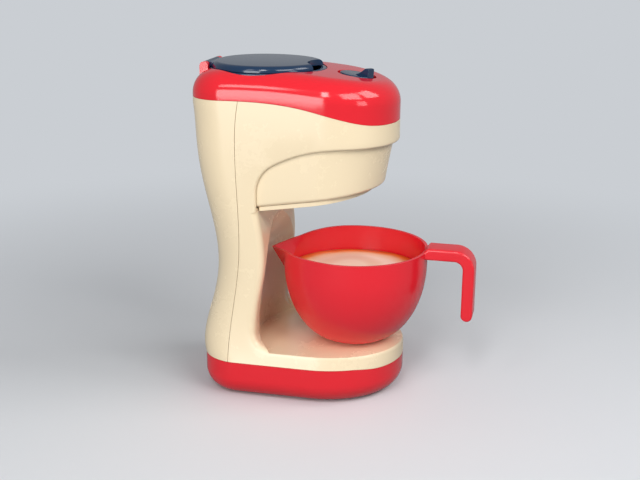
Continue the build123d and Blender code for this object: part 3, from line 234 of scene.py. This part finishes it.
def dressed(node, finish):
    """The carried-over solid with its facets joined and shaded smooth between its real edges."""
    mesh = frame["nodes"][node].data.copy()
    bm = bmesh.new()
    bm.from_mesh(mesh)
    bmesh.ops.remove_doubles(bm, verts=bm.verts, dist=SAME_POINT)
    for face in bm.faces:
        face.smooth = True
    for edge in bm.edges:
        edge.smooth = not edge.is_manifold or edge.calc_face_angle() < SHARP_TURN
    bm.to_mesh(mesh)
    bm.free()
    mesh.materials.clear()
    mesh.materials.append(finish)
    piece = bpy.data.objects.new(node + "_dressed", mesh)
    bpy.context.scene.collection.objects.link(piece)
    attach(piece, RIDERS[node])
    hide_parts(node)


red_abs = moulded("red ABS, polished mould", "#E61F2C", "#E31D2A", 0.12, 0.05)
dressed("base_shell", red_abs)


# Battery box. A natural cream ABS cradle for two cells, moulded without polish because nobody sees
# it, dropped onto the base shell's floor.
dressed("battery_box", moulded("cream ABS, unpolished", "#EBDCC0", "#E6D6B8", 0.45, 0.4))


# Cells. Two steel AA cells in a shrink sleeve of dark film with one pale band, which lie side by side
# with their bare steel ends against the contacts.
SLEEVE_MARGIN = 0.0012
BAND_WIDTH = 0.006


def sleeved_cell(node):
    """Film over steel: bare ends, a pale band at one end and a dark sleeve between."""
    low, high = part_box(node)
    length = high.x - low.x
    made, tree, output = empty_material("steel cell in printed film, " + node)
    place = add(tree, "ShaderNodeTexCoord").outputs["Object"]
    along = add(tree, "ShaderNodeSeparateXYZ", {0: place})
    share = add(tree, "ShaderNodeMapRange",
                {"Value": along.outputs["X"], "From Min": low.x, "From Max": high.x})
    colours = add(tree, "ShaderNodeValToRGB", {"Fac": share.outputs[0]})
    ramp = colours.color_ramp
    ramp.interpolation = "CONSTANT"
    ramp.elements[0].color = srgb("#B9BABC")
    ramp.elements[1].position = 1 - SLEEVE_MARGIN / length
    ramp.elements[1].color = srgb("#B9BABC")
    ramp.elements.new(SLEEVE_MARGIN / length).color = srgb("#2A3236")
    ramp.elements.new(1 - (SLEEVE_MARGIN + BAND_WIDTH) / length).color = srgb("#D8D4C6")
    from_middle = maths(tree, "ABSOLUTE", maths(tree, "SUBTRACT", share.outputs[0], 0.5))
    bare = maths(tree, "GREATER_THAN", from_middle, 0.5 - SLEEVE_MARGIN / length)
    film = add(tree, "ShaderNodeBsdfPrincipled",
               {"Base Color": colours.outputs["Color"], "Metallic": bare, "Roughness": 0.28})
    tree.links.new(film.outputs[0], output.inputs["Surface"])
    return made


for node in ("battery_1", "battery_2"):
    dressed(node, sleeved_cell(node))


# Contacts. Four bent tabs of spring steel, nickel plated, pushed into slots at the ends of the
# battery box. Plating mirrors softly and shows a fine mottle.
MOTTLE = 0.0015


def plated(name, colour, roughness):
    """Plated steel: a bare metal mirror whose gloss is faintly mottled."""
    made, tree, output = empty_material(name)
    place = add(tree, "ShaderNodeTexCoord").outputs["Object"]
    cloud = add(tree, "ShaderNodeTexNoise", {"Vector": place, "Scale": 1 / MOTTLE, "Detail": 3.0})
    gloss = add(tree, "ShaderNodeMapRange",
                {"Value": cloud.outputs["Fac"], "To Min": roughness * 0.7, "To Max": roughness * 1.3})
    metal = add(tree, "ShaderNodeBsdfPrincipled",
                {"Base Color": srgb(colour), "Metallic": 1.0, "Roughness": gloss.outputs[0]})
    tree.links.new(metal.outputs[0], output.inputs["Surface"])
    return made


dressed("battery_contacts", plated("nickel plated spring steel", "#CBC9C1", 0.2))


# Battery door. A flat red ABS cover underneath, flush in the base shell, held by two captive
# self-tapping screws of zinc plated steel with a cross recess.
zinc = plated("zinc plated screw steel", "#AEB0B3", 0.3)
dressed("battery_door", red_abs)
dressed("battery_door_screws", zinc)


# Speaker. A small round driver with a black frame and treated paper cone, clamped face down over
# the holes of the grille.
def soft_black(name, colour, roughness, grain):
    """A dull dark part, with a fine grain that breaks up its sheen."""
    made, tree, output = empty_material(name)
    place = add(tree, "ShaderNodeTexCoord").outputs["Object"]
    fine = add(tree, "ShaderNodeTexNoise", {"Vector": place, "Scale": 1 / grain, "Detail": 2.0})
    bump = add(tree, "ShaderNodeBump", {"Height": fine.outputs["Fac"], "Strength": 0.3, "Distance": 0.0001})
    gloss = add(tree, "ShaderNodeMapRange",
                {"Value": fine.outputs["Fac"], "To Min": roughness * 0.85, "To Max": roughness * 1.15})
    body = add(tree, "ShaderNodeBsdfPrincipled",
               {"Base Color": srgb(colour), "Roughness": gloss.outputs[0], "Normal": bump.outputs["Normal"]})
    tree.links.new(body.outputs[0], output.inputs["Surface"])
    return made


dressed("speaker", soft_black("black treated paper and frame", "#161616", 0.6, 0.0012))


# Front housing. The cream shell that makes the tray, the bay's walls and the front of the head in
# one moulding, screwed up from the base shell. ABS from a satin mould, so its lights are broad.
cream_abs = moulded("cream ABS, satin mould", "#F4E1BE", "#F2DEBA", 0.27, 0.22)
dressed("front_housing", cream_abs)


# Rear cover. The cream back of the column, of the same satin ABS, which meets the front housing in
# one upright seam on each side and is held by four screws in deep wells.
dressed("rear_cover", cream_abs)
dressed("rear_screws", zinc)


# Base screws. Four longer self-tapping screws that draw the base shell up to the front housing.
# They sit at the bottom of wells in the underside.
dressed("base_screws", zinc)


# Circuit board. Glass epoxy with a green solder mask, whose copper tracks show as paler lines, held
# on four posts of the rear cover by four screws.
TRACK_PITCH = 0.0025
TRACK_WIDTH = 0.0004


def masked_board(name):
    """Green solder mask, with paler lines where it lies over copper tracks."""
    made, tree, output = empty_material(name)
    place = add(tree, "ShaderNodeTexCoord").outputs["Object"]
    flat = add(tree, "ShaderNodeMapping", {"Vector": place, "Rotation": (math.radians(90.0), 0.0, 0.0)})
    tracks = add(tree, "ShaderNodeTexBrick",
                 {"Vector": flat.outputs[0], "Color1": srgb("#17502F"), "Color2": srgb("#1B5934"),
                  "Mortar": srgb("#3E8A55"), "Scale": 1.0, "Mortar Size": TRACK_WIDTH / 2,
                  "Brick Width": 4 * TRACK_PITCH, "Row Height": TRACK_PITCH})
    mask = add(tree, "ShaderNodeBsdfPrincipled", {"Base Color": tracks.outputs["Color"], "Roughness": 0.3})
    tree.links.new(mask.outputs[0], output.inputs["Surface"])
    return made


green_board = masked_board("green solder mask on glass epoxy")
dressed("circuit_board", green_board)
dressed("board_screws", zinc)


# Basket housing. The cream drum that hangs back under the head like a filter basket, one satin ABS
# moulding fixed between the head's walls.
dressed("basket_housing", cream_abs)


# Basket plate. The cream plate that closes the underside of the head, with a hole for the lens,
# held by four screws from below.
dressed("basket_plate", cream_abs)
dressed("basket_screws", zinc)


# Outlet lens. A small dome of clear polycarbonate in the plate, where the machine seems to drip. A
# faint ripple in it spreads the lamp's light.
RIPPLE = 0.003

clear_resin, tree, output = empty_material("clear polycarbonate")
place = add(tree, "ShaderNodeTexCoord").outputs["Object"]
ripple = add(tree, "ShaderNodeTexNoise", {"Vector": place, "Scale": 1 / RIPPLE})
bump = add(tree, "ShaderNodeBump", {"Height": ripple.outputs["Fac"], "Strength": 0.1, "Distance": 0.0001})
resin = add(tree, "ShaderNodeBsdfPrincipled",
            {"Base Color": srgb("#F4F2EA"), "Roughness": 0.08, "IOR": 1.58, "Transmission Weight": 0.85,
             "Normal": bump.outputs["Normal"]})
tree.links.new(resin.outputs[0], output.inputs["Surface"])
dressed("outlet_lens", clear_resin)


# Lamp. A small lamp of cast amber epoxy, a little cloudy, on its own small board right above the
# lens. The board is of the same masked glass epoxy as the large one.
CLOUD = 0.002

amber, tree, output = empty_material("amber epoxy")
place = add(tree, "ShaderNodeTexCoord").outputs["Object"]
cloud = add(tree, "ShaderNodeTexNoise", {"Vector": place, "Scale": 1 / CLOUD})
tint = add(tree, "ShaderNodeMix", {0: cloud.outputs["Fac"], 6: srgb("#E8A63C"), 7: srgb("#F6C260")},
           data_type="RGBA")
epoxy = add(tree, "ShaderNodeBsdfPrincipled",
            {"Base Color": tint.outputs[2], "Roughness": 0.1, "IOR": 1.55, "Transmission Weight": 0.4})
tree.links.new(epoxy.outputs[0], output.inputs["Surface"])
dressed("lamp", amber)
dressed("lamp_board", green_board)


# Top cover. The red crown with the sunk dish of the knob, polished ABS like the base shell, screwed
# down onto the head from inside.
dressed("top_cover", red_abs)
dressed("top_cover_screws", zinc)


# Rotary switch. A black phenolic box with stops and detents, hung from two posts under the dish by
# two screws. Its shaft is white acetal and turns with the knob.
dressed("rotary_switch", soft_black("black phenolic", "#151515", 0.45, 0.0008))
dressed("switch_screws", zinc)
dressed("switch_shaft", moulded("white acetal", "#EDEBE4", "#E6E4DC", 0.35, 0.1))


# Knob. The navy pointer that a child turns, ABS from a polished mould, pressed onto the shaft.
navy_abs = moulded("navy ABS, polished mould", "#12304F", "#112D4B", 0.14, 0.04)
dressed("knob", navy_abs)


# Water tank. A navy cup under the lid, whose rim rests on the top cover, held by two screws. The same
# polished ABS.
dressed("water_tank", navy_abs)
dressed("tank_screws", zinc)


# Lid. The navy flap over the tank, with a notch for a fingertip, which swings up on a plain steel pin
# at the back.
dressed("lid", navy_abs)
dressed("lid_hinge_pin", zinc)


# Wires. Stranded copper in soft PVC, red for the cells and the switch and black for the speaker and
# the lamp, run from each part to the board.
TWIST = 0.0018


def sheathed(name, colour):
    """Soft PVC over a twisted core: a dull skin with a faint wave."""
    made, tree, output = empty_material(name)
    place = add(tree, "ShaderNodeTexCoord").outputs["Object"]
    twist = add(tree, "ShaderNodeTexNoise", {"Vector": place, "Scale": 1 / TWIST})
    bump = add(tree, "ShaderNodeBump", {"Height": twist.outputs["Fac"], "Strength": 0.2, "Distance": 0.0001})
    skin = add(tree, "ShaderNodeBsdfPrincipled",
               {"Base Color": srgb(colour), "Roughness": 0.42, "Normal": bump.outputs["Normal"]})
    tree.links.new(skin.outputs[0], output.inputs["Surface"])
    return made


red_pvc = sheathed("red PVC", "#B01A1A")
black_pvc = sheathed("black PVC", "#181818")
for node, finish in (("battery_wire", red_pvc), ("switch_wire", red_pvc), ("speaker_wire", black_pvc),
                     ("lamp_wire", black_pvc)):
    dressed(node, finish)


# Jug. A red cup with a pouring lip and a handle, in one piece of polypropylene from a satin mould.
# It is a little softer and less shiny than the ABS, and stands loose on the tray.
dressed("jug", moulded("red polypropylene, satin mould", "#E7212F", "#E41F2C", 0.24, 0.12))


# Coffee insert. A loose disc with a printed film of coffee: pale cream swirled with tan, and an
# orange brown ring at the edge, under a clear gloss.
SWIRL_PITCH = 0.0075
RINGS_PER_UNIT = 20      # how many rings the wave texture draws at a scale of one
STIR_SCALE = 30.0        # patches about 33 mm wide
WANDER = 0.06            # how far the zones stray, as a share of the disc's radius
ZONES = ((0.0, "#FFEBD2"), (0.66, "#FFF0DC"), (0.80, "#FBDDB4"), (0.88, "#F3A55A"), (0.94, "#E8701F"),
         (0.99, "#C9521A"))

low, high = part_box("coffee_insert")
middle = (low + high) / 2
film_radius = (high.x - low.x) / 2
printed, tree, output = empty_material("printed film under clear gloss")
place = add(tree, "ShaderNodeTexCoord").outputs["Object"]
place = add(tree, "ShaderNodeMapping",
            {"Vector": place, "Location": (-middle.x, -middle.y, -middle.z)}).outputs[0]
stir = add(tree, "ShaderNodeTexNoise",
           {"Vector": place, "Scale": STIR_SCALE, "Detail": 2.0, "Distortion": 0.8})
reach = add(tree, "ShaderNodeVectorMath", {0: place}, operation="LENGTH")
stray = add(tree, "ShaderNodeMapRange", {"Value": stir.outputs["Fac"], "To Min": -WANDER, "To Max": WANDER})
share = maths(tree, "ADD", maths(tree, "DIVIDE", reach.outputs["Value"], film_radius), stray.outputs[0])
zones = add(tree, "ShaderNodeValToRGB", {"Fac": share})
ramp = zones.color_ramp.elements
ramp[1].position = ZONES[-1][0]
ramp[0].color = srgb(ZONES[0][1])
ramp[1].color = srgb(ZONES[-1][1])
for position, colour in ZONES[1:-1]:
    ramp.new(position).color = srgb(colour)
rings = add(tree, "ShaderNodeTexWave",
            {"Vector": place, "Scale": 1 / (RINGS_PER_UNIT * SWIRL_PITCH), "Distortion": 5.0, "Detail": 2.0,
             "Detail Scale": 1.5}, wave_type="RINGS", rings_direction="Z")
arcs = add(tree, "ShaderNodeMapRange",
           {"Value": rings.outputs["Fac"], "From Min": 0.6, "From Max": 1.0, "To Max": 0.35})
cream_only = add(tree, "ShaderNodeMapRange",
                 {"Value": share, "From Min": 0.85, "From Max": 0.55, "To Max": 1.0})
tan = maths(tree, "MULTIPLY", arcs.outputs[0], cream_only.outputs[0])
picture = add(tree, "ShaderNodeMix", {0: tan, 6: zones.outputs["Color"], 7: srgb("#D9A070")},
              data_type="RGBA")
film = add(tree, "ShaderNodeBsdfPrincipled", {"Base Color": picture.outputs[2], "Roughness": 0.3})
tree.links.new(film.outputs[0], output.inputs["Surface"])
dressed("coffee_insert", printed)
